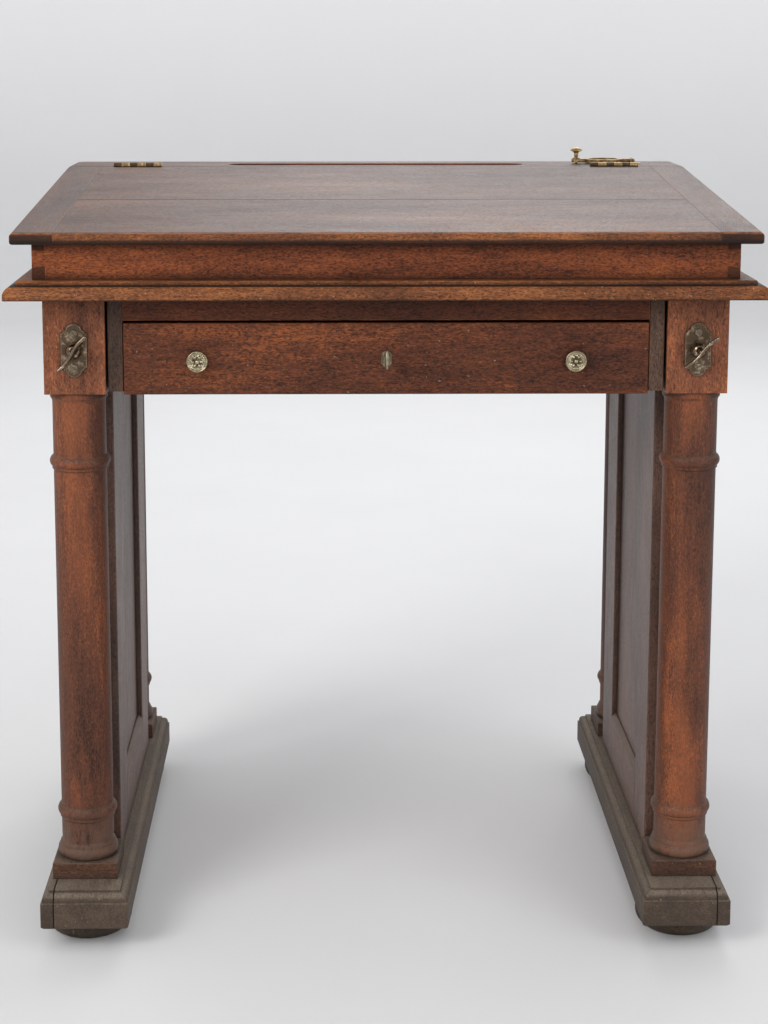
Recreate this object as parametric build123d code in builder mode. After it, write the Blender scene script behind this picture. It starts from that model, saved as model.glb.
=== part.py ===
"""Oak writing desk: a slant-lid case on four turned columns that rises on guide rods.

Millimetres, +Z up, origin on the floor at the middle of the footprint. The front faces -Y.
"""

from build123d import *

import os
from math import atan2, cos, hypot, radians, sin, tan

os.makedirs("parts", exist_ok=True)

# ---------------------------------------------------------------- driving dimensions
overall_depth = 666.0  # front of the plinths to the back of the moulded top
top_width = 866.0  # moulded top, its widest edge
shelf_height = 890.0  # top of the pen shelf
lid_front_height = 850.0  # top arris of the lid at its front edge
post_size = 71.0  # square corner posts
column_x = 358.0  # column axes, left and right of the middle
column_spacing = 490.0  # front column axes to back column axes
running_gap = 0.05  # radial play of a shaft in its hole

# Heights of the base, from the floor up
foot_height = 29.0
plinth_face = 32.0  # upright face of the plinth
plinth_height = 45.0
block_height = 20.0
post_height = 113.0
column_top = 661.0
plinth_top = foot_height + plinth_height
column_foot = plinth_top + block_height
post_top = column_top + post_height

# Front-to-back places
plinth_front = -overall_depth / 2
post_front = plinth_front + 45.0
front_axis = post_front + post_size / 2
back_axis = front_axis + column_spacing
post_back = back_axis + post_size / 2
plinth_length = 637.0
plinth_middle = plinth_front + plinth_length / 2
top_front = post_front - 38.0
top_back = overall_depth / 2

# Base pieces
foot_radius = 51.0
foot_base_radius = 41.0
plinth_width = 103.0
plinth_middle_x = 355.0
strip_width = 15.0  # outer moulding strip planted on each plinth
shrinkage = 0.4  # open joint between old boards
block_size = 77.0
shaft_radius = 31.0
ring_radius = 35.3  # collars near the foot and the head of each column
upper_ring_z = 579.0
lower_ring_z = 152.0
column_foot_radius = 33.0
torus_radius = 36.0  # rounded base of each column
torus_height = 14.0
torus_fillet = 2.0
shaft_start = 22.0  # column foot to the plain shaft
cap_radius = 33.5
cap_height = 14.0
rod_radius = 11.0
rod_length = 434.0  # below the moulded top
socket_depth = 12.0  # rod tenon in the moulded top
ease = 1.0  # softened arrises

# Side frames
frame_inner = 323.0
frame_thickness = 26.0
frame_front = post_front + 80.0
frame_length = 383.0
stile_width = 85.0
bottom_rail_top = 147.0
panel_thickness = 10.0
panel_recess = 7.0
panel_tongue = 8.0
apron_clearance = 1.0  # keeps the aprons just under the moulded top

# Upper case
top_thickness = 21.0
top_edge = 5.0  # upright edge of the moulded top
top_ovolo = 11.5
top_quirk = 2.0
case_top = post_top + top_thickness
case_width = 806.0
case_front = post_front - 7.0
case_back = top_back - 31.0
board = 15.0  # slope case boards
lid_thickness = 14.0
lid_overhang_front = 20.0
lid_width = 850.0
shelf_back = case_back + 22.0
shelf_corner = 12.0  # rounded back corners of the pen shelf
pin_low = 13.0  # end-grain pins at the case corners, below and above the tail
pin_high = 8.0
pin_flare = 2.0
hinge_y = post_front + 502.0
lid_front = case_front - lid_overhang_front
lid_rest_gap = 0.2  # lid to case
lid_front_board_width = 238.0
lid_end_width = 48.0  # breadboard ends
tongue_length = 8.0
tongue_thickness = 5.0
tongue_inset = 6.0
nose_top = 5.0  # rounded edge of lid and shelf, above and below
nose_low = 3.5

# Drawer case
drawer_width = 603.6
drawer_front_bottom = 660.5
drawer_front_top = 743.5
drawer_gap = 0.5
case_stile_outer = 320.0
case_bottom = 664.0
rail_bottom = 746.5
rail_depth = 30.0
case_face = post_front + 3.0
case_depth = 462.0
runner_width = 12.0
runner_height = 6.0
case_stile_depth = 20.0
case_back_thickness = 12.0

# Drawer
drawer_face = post_front + 2.0
drawer_front_thickness = 18.0
drawer_side_thickness = 10.0
drawer_side_bottom = 670.5
drawer_side_top = 740.0
drawer_length = 420.0
drawer_bottom_thickness = 6.0
drawer_back_thickness = 12.0
groove_depth = 5.0
knob_x = 216.5
knob_z = 701.0
knob_radius = 12.5
knob_height = 18.0
knob_rose_radius = 9.0
knob_neck_radius = 4.5
knob_spigot_radius = 3.5
knob_spigot_length = 12.0
escutcheon_width = 11.6
escutcheon_top = 711.0
escutcheon_bottom = 690.5
escutcheon_inlay = 0.8
escutcheon_thickness = 1.4

# Lid hinges
pin_height = 1.0  # hinge pin centre above the shelf
pin_radius = 1.5
knuckle_radius = 4.0
knuckle_count = 6
hinge_length = 66.0
hinge_x = 328.0
leaf_thickness = 1.5
leaf_depth = 13.0
hinge_gap = 0.8  # lid or shelf edge to the pin's centre plane
knuckle_clearance = 0.4
knuckle_gap = 0.3

# Inkwell fitting and pen groove
ink_x = 320.0
ink_y = post_front + 555.0
ink_ring_radius = 27.0
ink_hole_radius = 20.5
ink_ring_height = 5.2
ink_pivot_x = 360.0
ink_knob_x = 282.0
ink_pot_radius = 19.0
ink_pot_flange = 24.5
ink_pot_depth = 44.0
ink_pot_play = 0.4
ink_flange_thickness = 1.6
ink_mouth_radius = 14.0
ink_tab_width = 13.0
ink_arm_width = 12.0
ink_lug_thickness = 3.0
ink_base_thickness = 1.0
ink_knob_radius = 8.5
ink_knob_top = 913.0
ink_neck_radius = 3.0
ink_collar_radius = 5.2
ink_stem_radius = 1.8
ink_stem_depth = 5.0
groove_half_length = 206.0
groove_width = 40.0
groove_floor = 9.0
groove_y = post_front + 543.0

# Clamp screws
clamp_z = 712.5
clamp_screw_radius = 4.0
clamp_hole_radius = clamp_screw_radius + running_gap
plate_width = 30.0
plate_straight = 46.0  # plate length between its rounded lobes
plate_thickness = 2.5
lobe_radius = 9.5
notch_radius = 3.5  # hollow cut from each corner of the plate
boss_radius = 8.5
boss_height = 3.0
plate_screw_offset = 20.0
plate_screw_radius = 2.0
plate_screw_length = 18.0
plate_screw_head_radius = 4.6
plate_screw_head_height = 1.4
plate_screw_slot = 1.1
handle_collar_radius = 7.0
handle_web = 3.0  # thickness of the handle's flat neck
handle_reach = 24.0  # plate face to the middle of the handle's bar
clamp_bar_length = 46.0
clamp_bar_radius = 2.5

# Lock and key
key_z = 705.0
lock_width = 52.0
lock_depth = 10.0
lock_bottom = 691.0
lock_top = 741.0
lock_wall = 1.5
bolt_width = 20.0
bolt_thickness = 4.0
bolt_travel = 8.0
bolt_setback = 1.5  # drawer front to bolt
bolt_show = 1.5  # bolt's end above the lock case when drawn back
bolt_mortise_depth = 11.5
key_shaft_radius = 2.2
key_reach = 25.0  # drawer face to the middle of the bow
bow_depth = 17.0
bow_height = 24.0
bow_thickness = 3.4
bit_reach = 9.0
bit_width = 6.0
bit_thickness = 2.4

# ---------------------------------------------------------------- derived places
SIDES = (("left", -1), ("right", 1))
CORNERS = (
    ("front_left", -column_x, front_axis),
    ("front_right", column_x, front_axis),
    ("back_left", -column_x, back_axis),
    ("back_right", column_x, back_axis),
)
corner_points = [(x, y) for _, x, y in CORNERS]

slope = atan2(shelf_height - lid_front_height, hinge_y - lid_front)
lid_length = hypot(shelf_height - lid_front_height, hinge_y - lid_front)
shelf_thickness = lid_thickness / cos(slope)
shelf_underside = shelf_height - shelf_thickness
pin_z = shelf_height + pin_height
# Lid plane: x across the desk, y up the slope with 0 at the hinge, z out of the lid's top face
lid_plane = Plane(
    origin=(0, hinge_y, shelf_height), x_dir=(1, 0, 0), z_dir=(0, -sin(slope), cos(slope))
)


def lid_underside(y):
    """Height of the case's sloping top edge, just clear of the lid."""
    return shelf_underside + (y - hinge_y) * tan(slope) - lid_rest_gap


def finish(piece, name):
    """Labels a finished piece and writes it."""
    piece.part.label = name
    export_step(piece.part, f"parts/{name}.step")


def slab(x0, x1, y0, y1, z0, z1, mode=Mode.ADD):
    """A rectangular board given by its faces."""
    with Locations(((x0 + x1) / 2, (y0 + y1) / 2, (z0 + z1) / 2)):
        Box(abs(x1 - x0), abs(y1 - y0), abs(z1 - z0), mode=mode)


def dome_radius(rim, rise):
    """Radius of a dome of the given rim radius and rise, so that its centre is on the axis."""
    return (rim**2 + rise**2) / (2 * rise)


def upright(x=0.0, y=0.0):
    """Vertical plane facing the front, for sections in X and Z."""
    return Plane(origin=(x, y, 0), x_dir=(1, 0, 0), z_dir=(0, -1, 0))


def sideways(x=0.0, y=0.0):
    """Vertical plane facing right, for sections in Y and Z."""
    return Plane(origin=(x, y, 0), x_dir=(0, 1, 0), z_dir=(1, 0, 0))


# ---------------------------------------------------------------- base: feet, plinths, blocks
with BuildPart() as foot:
    with BuildSketch(Plane.XZ):
        with BuildLine():
            Line((0, 0), (foot_base_radius, 0))
            ThreePointArc(
                (foot_base_radius, 0), (foot_radius, foot_height * 0.55), (foot_radius - 5, foot_height)
            )
            Polyline((foot_radius - 5, foot_height), (0, foot_height), (0, 0))
        make_face()
    revolve(axis=Axis.Z)

with BuildPart() as bun_feet:
    with Locations(*corner_points):
        add(foot.part)
finish(bun_feet, "bun_feet")


def plinth_section(half):
    """Plinth section: eased foot, upright face, quirk, ovolo and fillet, the same on both sides."""
    face_top = foot_height + plinth_face
    quirk, ovolo = 2.0, 8.0
    shoulder = half - quirk - ovolo
    with BuildSketch() as section:
        with BuildLine():
            Polyline(
                (0, foot_height),
                (half - 3, foot_height),
                (half, foot_height + 3),
                (half, face_top),
                (half - quirk, face_top),
                (half - quirk, face_top + quirk),
            )
            RadiusArc((half - quirk, face_top + quirk), (shoulder, face_top + quirk + ovolo), -ovolo)
            Polyline((shoulder, face_top + quirk + ovolo), (shoulder, plinth_top), (0, plinth_top))
            mirror(about=Plane.YZ)
        make_face()
    return section.sketch


strip_joint = plinth_width / 2 - strip_width  # from the plinth's middle to its outer strip
with BuildPart() as plinth_blank:
    with BuildSketch(upright(0, plinth_middle)):
        add(plinth_section(plinth_width / 2))
    extrude(amount=plinth_length / 2, both=True)
    with BuildSketch(sideways(0, plinth_middle)):
        add(plinth_section(plinth_length / 2))
    extrude(amount=plinth_width, both=True, mode=Mode.INTERSECT)

for side, s in SIDES:
    with BuildPart() as plinth:
        with Locations((s * plinth_middle_x, 0, 0)):
            add(plinth_blank.part)
        joint = Plane.YZ.offset(s * (plinth_middle_x + strip_joint - shrinkage))
        split(bisect_by=joint, keep=Keep.BOTTOM if s > 0 else Keep.TOP)
    finish(plinth, f"plinth_{side}")

with BuildPart() as plinth_strips:
    with Locations((-plinth_middle_x, 0, 0), (plinth_middle_x, 0, 0)):
        add(plinth_blank.part)
    half = plinth_middle_x + strip_joint
    slab(-half, half, plinth_front - 1, top_back, foot_height - 1, plinth_top + 1, mode=Mode.SUBTRACT)
finish(plinth_strips, "plinth_strips")

with BuildPart() as column_blocks:
    with BuildSketch(Plane.XY.offset(plinth_top)):
        with Locations(*corner_points):
            Rectangle(block_size, block_size)
    extrude(amount=block_height)
    chamfer(column_blocks.edges().group_by(Axis.Z)[-1], length=ease)
finish(column_blocks, "column_blocks")

# ---------------------------------------------------------------- columns and corner posts


def ring_outline(middle):
    """Points of a collar: a rounded bead over a small fillet, from below upwards."""
    return (
        (shaft_radius, middle - 11),
        (shaft_radius + 1.6, middle - 10),
        (shaft_radius + 1.6, middle - 7),
        (ring_radius - 1.5, middle - 6),
    )


torus_top = column_foot + torus_height
rod_bore = rod_length - post_height + 6  # the rod hole goes a little deeper than the rod
with BuildPart() as column_blank:
    with BuildSketch(Plane.XZ):
        with BuildLine():
            Line((0, column_foot), (column_foot_radius, column_foot))
            ThreePointArc(
                (column_foot_radius, column_foot),
                (torus_radius, column_foot + torus_height / 2),
                (column_foot_radius, torus_top),
            )
            Line((column_foot_radius, torus_top), (column_foot_radius, torus_top + torus_fillet))
            RadiusArc(
                (column_foot_radius, torus_top + torus_fillet), (shaft_radius, column_foot + shaft_start), 6
            )
            below = column_foot + shaft_start
            for middle in (lower_ring_z, upper_ring_z):
                outline = ring_outline(middle)
                Polyline((shaft_radius, below), *outline)
                ThreePointArc(outline[-1], (ring_radius, middle - 1), (ring_radius - 2, middle + 4))
                below = middle + 6
                Line((ring_radius - 2, middle + 4), (shaft_radius, below))
            Line((shaft_radius, below), (shaft_radius, column_top - cap_height))
            RadiusArc((shaft_radius, column_top - cap_height), (cap_radius, column_top - cap_height / 2), 9)
            Polyline(
                (cap_radius, column_top - cap_height / 2),
                (cap_radius, column_top),
                (0, column_top),
                (0, column_foot),
            )
        make_face()
    revolve(axis=Axis.Z)
    with Locations((0, 0, column_top)):
        Hole(radius=rod_radius + running_gap, depth=rod_bore)

for corner, x, y in CORNERS:
    with BuildPart() as column:
        with Locations((x, y, 0)):
            add(column_blank.part)
    finish(column, f"column_{corner}")

for corner, x, y in CORNERS:
    half = post_size / 2
    with BuildPart() as post:
        slab(x - half, x + half, y - half, y + half, column_top, post_top)
        fillet(post.edges().filter_by(Axis.Z), radius=ease)
        with Locations((x, y, post_top)):
            Hole(radius=rod_radius + running_gap)
        if y == front_axis:
            with BuildSketch(upright(x, post_front)):
                with Locations((0, clamp_z)):
                    Circle(clamp_hole_radius)
            extrude(amount=-half, mode=Mode.SUBTRACT)
            with BuildSketch(upright(x, post_front)):
                with Locations((0, clamp_z - plate_screw_offset), (0, clamp_z + plate_screw_offset)):
                    Circle(plate_screw_radius + running_gap)
            extrude(amount=-plate_screw_length, mode=Mode.SUBTRACT)
    finish(post, f"post_{corner}")

# ---------------------------------------------------------------- side frames
frame_back = frame_front + frame_length
panel_inner = frame_inner + panel_recess

for side, s in SIDES:
    inner, outer = s * frame_inner, s * (frame_inner + frame_thickness)
    groove = (s * panel_inner, s * (panel_inner + panel_thickness))
    opening_front, opening_back = frame_front + stile_width, frame_back - stile_width
    with BuildPart() as stiles:
        slab(inner, outer, frame_front, opening_front, plinth_top, column_top)
        slab(inner, outer, opening_back, frame_back, plinth_top, column_top)
        uprights = stiles.edges().filter_by(Axis.Z)
        chamfer(uprights.filter_by_position(Axis.X, inner - 0.1, inner + 0.1), length=ease)
        slab(
            *groove, opening_front - panel_tongue, opening_back + panel_tongue,
            plinth_top, column_top, mode=Mode.SUBTRACT,
        )
    finish(stiles, f"side_stiles_{side}")
    with BuildPart() as rail:
        slab(inner, outer, opening_front, opening_back, plinth_top, bottom_rail_top)
        top_arris = rail.edges().filter_by(Axis.Y).group_by(Axis.Z)[-1]
        chamfer(top_arris.filter_by_position(Axis.X, inner - 0.1, inner + 0.1), length=5)
        slab(
            *groove, opening_front, opening_back,
            bottom_rail_top - panel_tongue, bottom_rail_top, mode=Mode.SUBTRACT,
        )
        slab(
            *groove, opening_front - panel_tongue, opening_back + panel_tongue,
            plinth_top, bottom_rail_top - panel_tongue,
        )
    finish(rail, f"bottom_rail_{side}")
    with BuildPart() as panel:
        slab(
            *groove, opening_front - panel_tongue, opening_back + panel_tongue,
            bottom_rail_top - panel_tongue, column_top,
        )
    finish(panel, f"side_panel_{side}")
    with BuildPart() as apron:
        slab(
            inner, outer, post_front + post_size, back_axis - post_size / 2,
            column_top, post_top - apron_clearance,
        )
        chamfer(apron.edges().filter_by(Axis.Y), length=ease)
    finish(apron, f"side_apron_{side}")

with BuildPart() as back_rail:
    half = column_x - post_size / 2
    slab(-half, half, back_axis - 11, back_axis + 11, column_top, post_top - apron_clearance)
    chamfer(back_rail.edges().filter_by(Axis.X), length=ease)
finish(back_rail, "back_rail")

# ---------------------------------------------------------------- clamp plates, screws and handles
plate_face = post_front - plate_thickness

with BuildPart() as clamp_plates:
    for x in (-column_x, column_x):
        with BuildSketch(upright(x, post_front)):
            with Locations((0, clamp_z)):
                Rectangle(plate_width, plate_straight)
                with Locations((0, -plate_straight / 2 + 1.5), (0, plate_straight / 2 - 1.5)):
                    Circle(lobe_radius)
                with GridLocations(plate_width, plate_straight, 2, 2):
                    Circle(notch_radius, mode=Mode.SUBTRACT)
        extrude(amount=plate_thickness)
    fillet(clamp_plates.edges().group_by(Axis.Y)[0], radius=0.6)
    for x in (-column_x, column_x):
        with BuildSketch(upright(x, plate_face)):
            with Locations((0, clamp_z)):
                Circle(boss_radius)
        extrude(amount=boss_height, taper=12)
        with BuildSketch(upright(x, post_front)):
            with Locations((0, clamp_z)):
                Circle(clamp_hole_radius)
            with Locations((0, clamp_z - plate_screw_offset), (0, clamp_z + plate_screw_offset)):
                Circle(plate_screw_radius + running_gap)
        extrude(amount=plate_thickness + boss_height, mode=Mode.SUBTRACT)
finish(clamp_plates, "clamp_plates")

with BuildPart() as plate_screws:
    for side, s in SIDES:
        for z, turn in ((clamp_z - plate_screw_offset, 35 * s), (clamp_z + plate_screw_offset, -50)):
            with BuildSketch(upright(s * column_x, plate_face)):
                with Locations((0, z)):
                    Circle(plate_screw_head_radius)
            extrude(amount=plate_screw_head_height, taper=30)
            with BuildSketch(upright(s * column_x, plate_face)):
                with Locations((0, z)):
                    Circle(plate_screw_radius)
            extrude(amount=-plate_screw_length)
            with BuildSketch(upright(s * column_x, plate_face - 0.5)):
                with Locations(Location((0, z), turn)):
                    Rectangle(2 * plate_screw_head_radius + 2, plate_screw_slot)
            extrude(amount=2, mode=Mode.SUBTRACT)
finish(plate_screws, "clamp_plate_screws")

for side, s, tilt in (("left", -1, 52.0), ("right", 1, 42.0)):
    x = s * column_x
    tip = front_axis - rod_radius - 0.3
    seat = plate_face - boss_height - 0.3
    bar_y = plate_face - handle_reach
    along = Vector(cos(radians(tilt)), 0, sin(radians(tilt)))
    centre = Vector(x, bar_y, clamp_z)
    with BuildPart() as handle:
        with BuildSketch(upright(x, tip)):
            with Locations((0, clamp_z)):
                Circle(clamp_screw_radius)
        extrude(amount=tip - seat)
        with BuildSketch(upright(x, seat)):
            with Locations((0, clamp_z)):
                Circle(handle_collar_radius)
        extrude(amount=seat - bar_y, taper=13)
        with BuildSketch(Plane(origin=centre, x_dir=along, z_dir=(0, -1, 0))):
            SlotOverall(clamp_bar_length * 0.8, handle_web)
        with BuildSketch(Plane(origin=(x, seat, clamp_z), x_dir=along, z_dir=(0, -1, 0))):
            SlotOverall(2 * handle_collar_radius - 1, handle_web)
        loft()
        with BuildSketch(Plane(origin=centre - along * (clamp_bar_length / 2), x_dir=(0, 1, 0), z_dir=along)):
            Circle(clamp_bar_radius)
        extrude(amount=clamp_bar_length)
        with Locations(
            centre - along * (clamp_bar_length / 2), centre + along * (clamp_bar_length / 2)
        ):
            Sphere(clamp_bar_radius + 0.4)
    finish(handle, f"clamp_handle_{side}")

# ---------------------------------------------------------------- moulded top


def top_section(half):
    """Moulded top's section: upright edge, ovolo, quirk and a small raised fillet."""
    edge_top = post_top + top_edge
    ovolo_top = edge_top + top_ovolo
    shoulder = half - top_ovolo
    bead = shoulder - top_quirk
    with BuildSketch() as section:
        with BuildLine():
            Polyline((0, post_top), (half - ease, post_top), (half, post_top + ease), (half, edge_top))
            RadiusArc((half, edge_top), (shoulder, ovolo_top), -top_ovolo)
            Polyline(
                (shoulder, ovolo_top),
                (bead, ovolo_top - ease),
                (bead, case_top - ease),
                (bead - ease, case_top),
                (0, case_top),
            )
            mirror(about=Plane.YZ)
        make_face()
    return section.sketch


top_middle = (top_front + top_back) / 2
with BuildPart() as moulded_top:
    with BuildSketch(upright(0, top_middle)):
        add(top_section(top_width / 2))
    extrude(amount=(top_back - top_front) / 2, both=True)
    with BuildSketch(sideways(0, top_middle)):
        add(top_section((top_back - top_front) / 2))
    extrude(amount=top_width, both=True, mode=Mode.INTERSECT)
    with BuildSketch(Plane.XY.offset(post_top)):
        with Locations(*corner_points):
            Circle(rod_radius + running_gap)
    extrude(amount=socket_depth, mode=Mode.SUBTRACT)
finish(moulded_top, "moulded_top")

with BuildPart() as guide_rods:
    with BuildSketch(Plane.XY.offset(post_top + socket_depth)):
        with Locations(*corner_points):
            Circle(rod_radius)
    extrude(amount=-(rod_length + socket_depth))
    chamfer(guide_rods.edges().group_by(Axis.Z)[0], length=2)
finish(guide_rods, "guide_rods")

# ---------------------------------------------------------------- slope case
case_front_height = lid_underside(case_front) - case_top


def tail(s):
    """Tail of the front board at one corner, as a section seen from the front."""
    root, end = s * (case_width / 2 - board), s * case_width / 2
    low, high = case_top + pin_low, case_top + case_front_height - pin_high
    with BuildSketch() as section:
        with BuildLine():
            Polyline(
                (root, low + pin_flare), (end, low), (end, high), (root, high - pin_flare), close=True
            )
        make_face()
    return section.sketch


with BuildPart() as slope_case_front:
    with BuildSketch(sideways()):
        with BuildLine():
            Polyline(
                (case_front, case_top),
                (case_front + board, case_top),
                (case_front + board, lid_underside(case_front + board)),
                (case_front, lid_underside(case_front)),
                close=True,
            )
        make_face()
    extrude(amount=case_width / 2 - board, both=True)
    for s in (-1, 1):
        with BuildSketch(upright(0, case_front)):
            add(tail(s))
        extrude(amount=-board)
finish(slope_case_front, "slope_case_front")

for side, s in SIDES:
    with BuildPart() as case_side:
        with BuildSketch(sideways(s * case_width / 2)):
            with BuildLine():
                Polyline(
                    (case_front, case_top),
                    (case_back, case_top),
                    (case_back, shelf_underside),
                    (hinge_y, shelf_underside),
                    (hinge_y, lid_underside(hinge_y)),
                    (case_front, lid_underside(case_front)),
                    close=True,
                )
            make_face()
        extrude(amount=-s * board)
        with BuildSketch(upright(0, case_front)):
            add(tail(s))
        extrude(amount=-board, mode=Mode.SUBTRACT)
    finish(case_side, f"slope_case_{side}")

with BuildPart() as slope_case_back:
    half = case_width / 2 - board
    slab(-half, half, case_back - board, case_back, case_top, shelf_underside)
finish(slope_case_back, "slope_case_back")


def hinge_barrels(radius, x0, x1, mode, y=hinge_y, z=pin_z):
    """Round bars on the lid hinge axis, from x0 to x1 beside the middle of each hinge."""
    for x in (-hinge_x, hinge_x):
        with Locations(Location((x + (x0 + x1) / 2, y, z), (0, 90, 0))):
            Cylinder(radius, x1 - x0, mode=mode)


def rim_edges(part, z, x=None, y=None):
    """Edges at height z that run along the outer face at x or at y."""
    level = part.edges().filter_by_position(Axis.Z, z - 0.01, z + 0.01)
    found = ShapeList()
    for axis, place in ((Axis.X, x), (Axis.Y, y)):
        if place is not None:
            found += level.filter_by_position(axis, place - 0.01, place + 0.01)
    return found


half_hinge = hinge_length / 2
recess = half_hinge + 0.5  # half length of a hinge's pocket

with BuildPart() as pen_shelf:
    front = hinge_y + hinge_gap
    slab(-lid_width / 2, lid_width / 2, front, shelf_back, shelf_underside, shelf_height)
    fillet(pen_shelf.edges().filter_by(Axis.Z).group_by(Axis.Y)[-1], radius=shelf_corner)
    for level, radius in ((-1, nose_top), (0, nose_low)):
        rim = pen_shelf.edges().group_by(Axis.Z)[level].sort_by(Axis.Y)[1:]
        fillet(rim, radius=radius)
    with BuildSketch(Plane.XY.offset(shelf_height)):
        with Locations((0, groove_y)):
            SlotOverall(groove_half_length * 2, groove_width)
    extrude(amount=-groove_floor, taper=28, mode=Mode.SUBTRACT)
    with BuildSketch(Plane.XY.offset(shelf_height)):
        with Locations((ink_x, ink_y)):
            Circle(ink_pot_radius + ink_pot_play)
    extrude(amount=-shelf_thickness, mode=Mode.SUBTRACT)
    with BuildSketch(Plane.XY.offset(shelf_height)):
        with Locations((ink_knob_x, ink_y)):
            Circle(ink_stem_radius + 1.8)
    extrude(amount=-ink_stem_depth - 1, mode=Mode.SUBTRACT)
    hinge_barrels(knuckle_radius + knuckle_clearance, -recess, recess, Mode.SUBTRACT)
    for x in (-hinge_x, hinge_x):
        slab(
            x - recess, x + recess, front, front + leaf_thickness,
            pin_z - leaf_depth, pin_z, mode=Mode.SUBTRACT,
        )
finish(pen_shelf, "pen_shelf")

# ---------------------------------------------------------------- lid, modelled flat and then tilted
seam = lid_front_board_width - lid_length
lid_inner = lid_width / 2 - lid_end_width
lid_middle = -lid_thickness / 2
tongue = (lid_middle - tongue_thickness / 2, lid_middle + tongue_thickness / 2)
pin_in_lid = (pin_height * sin(slope), pin_height * cos(slope))  # y and z in the lid plane


def finish_tilted(piece, name):
    """Tilts a piece modelled in lid coordinates up to the slope, and writes it."""
    with BuildPart() as tilted:
        with Locations(lid_plane.location):
            add(piece.part)
    finish(tilted, name)


with BuildPart() as lid_front_board:
    slab(-lid_inner, lid_inner, -lid_length, seam - shrinkage, -lid_thickness, 0)
    fillet(rim_edges(lid_front_board, 0, y=-lid_length), radius=nose_top)
    fillet(rim_edges(lid_front_board, -lid_thickness, y=-lid_length), radius=nose_low)
    reach = lid_inner + tongue_length
    slab(-reach, reach, tongue_inset - lid_length, seam - tongue_inset, *tongue)
finish_tilted(lid_front_board, "lid_front_board")

with BuildPart() as lid_rear_board:
    slab(-lid_inner, lid_inner, seam, -hinge_gap, -lid_thickness, 0)
    slab(-reach, reach, seam + tongue_inset, -tongue_inset, *tongue)
    hinge_barrels(knuckle_radius + knuckle_clearance, -recess, recess, Mode.SUBTRACT, *pin_in_lid)
    for x in (-hinge_x, hinge_x):
        slab(
            x - recess, x + recess, -hinge_gap - leaf_thickness, -hinge_gap,
            -leaf_depth, 1, mode=Mode.SUBTRACT,
        )
finish_tilted(lid_rear_board, "lid_rear_board")

for side, s in SIDES:
    outer = s * lid_width / 2
    with BuildPart() as lid_end:
        slab(s * lid_inner, outer, -lid_length, -hinge_gap, -lid_thickness, 0)
        fillet(rim_edges(lid_end, 0, x=outer, y=-lid_length), radius=nose_top)
        fillet(rim_edges(lid_end, -lid_thickness, x=outer, y=-lid_length), radius=nose_low)
        mortise = (s * lid_inner, s * (lid_inner + tongue_length))
        slab(*mortise, tongue_inset - lid_length, seam - tongue_inset, *tongue, mode=Mode.SUBTRACT)
        slab(*mortise, seam + tongue_inset, -tongue_inset, *tongue, mode=Mode.SUBTRACT)
    finish_tilted(lid_end, f"lid_end_{side}")

# ---------------------------------------------------------------- lid hinges
segment = hinge_length / knuckle_count
half_gap = knuckle_gap / 2


def barrel(first, y=hinge_y, z=pin_z):
    """Knuckles of one leaf from segment first, notches for the other leaf's, and the pin's bore."""
    for i in range(knuckle_count):
        start = i * segment - half_hinge
        if i % 2 == first:
            hinge_barrels(knuckle_radius, start + half_gap, start + segment - half_gap, Mode.ADD, y, z)
    for i in range(knuckle_count):
        start = i * segment - half_hinge
        if i % 2 != first:
            notch = knuckle_radius + knuckle_clearance / 2
            hinge_barrels(notch, start - half_gap, start + segment + half_gap, Mode.SUBTRACT, y, z)
    hinge_barrels(pin_radius + running_gap, -hinge_length, hinge_length, Mode.SUBTRACT, y, z)


with BuildPart() as shelf_leaves:
    for x in (-hinge_x, hinge_x):
        face = hinge_y + hinge_gap
        slab(
            x - half_hinge, x + half_hinge, face, face + leaf_thickness, pin_z - leaf_depth, pin_z
        )
    barrel(0)
finish(shelf_leaves, "hinge_leaves_shelf")

with BuildPart() as lid_leaves:
    for x in (-hinge_x, hinge_x):
        slab(
            x - half_hinge, x + half_hinge, -hinge_gap - leaf_thickness, -hinge_gap,
            -leaf_depth, pin_height,
        )
    barrel(1, *pin_in_lid)
finish_tilted(lid_leaves, "hinge_leaves_lid")

with BuildPart() as hinge_pins:
    hinge_barrels(pin_radius, -half_hinge, half_hinge, Mode.ADD)
finish(hinge_pins, "hinge_pins")

# ---------------------------------------------------------------- drawer case
case_inner = drawer_width / 2 + drawer_gap
stile_back = case_face + case_stile_depth
sides_back = case_face + case_depth
bolt_back = drawer_face + drawer_front_thickness + bolt_setback + bolt_thickness  # bolt's rear face

with BuildPart() as case_stiles:
    for s in (-1, 1):
        slab(s * case_inner, s * case_stile_outer, case_face, stile_back, case_bottom, post_top)
    outer_arrises = case_stiles.edges().filter_by(Axis.Z).group_by(Axis.Y)[0]
    chamfer(outer_arrises, length=ease)
finish(case_stiles, "case_stiles")

with BuildPart() as case_top_rail:
    slab(-case_inner, case_inner, case_face, case_face + rail_depth, rail_bottom, post_top)
    mortise_half = bolt_width / 2 + 1
    slab(
        -mortise_half, mortise_half, bolt_back - bolt_thickness - 1, bolt_back + 1,
        rail_bottom, rail_bottom + bolt_mortise_depth, mode=Mode.SUBTRACT,
    )
finish(case_top_rail, "case_top_rail")

with BuildPart() as case_sides:
    for s in (-1, 1):
        slab(s * case_inner, s * case_stile_outer, stile_back, sides_back, case_bottom, post_top)
        slab(
            s * (case_inner - runner_width), s * case_inner, stile_back, sides_back,
            case_bottom, case_bottom + runner_height,
        )
finish(case_sides, "case_sides")

with BuildPart() as case_back_panel:
    slab(
        -case_stile_outer, case_stile_outer, sides_back, sides_back + case_back_thickness,
        case_bottom, post_top,
    )
finish(case_back_panel, "case_back_panel")

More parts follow.
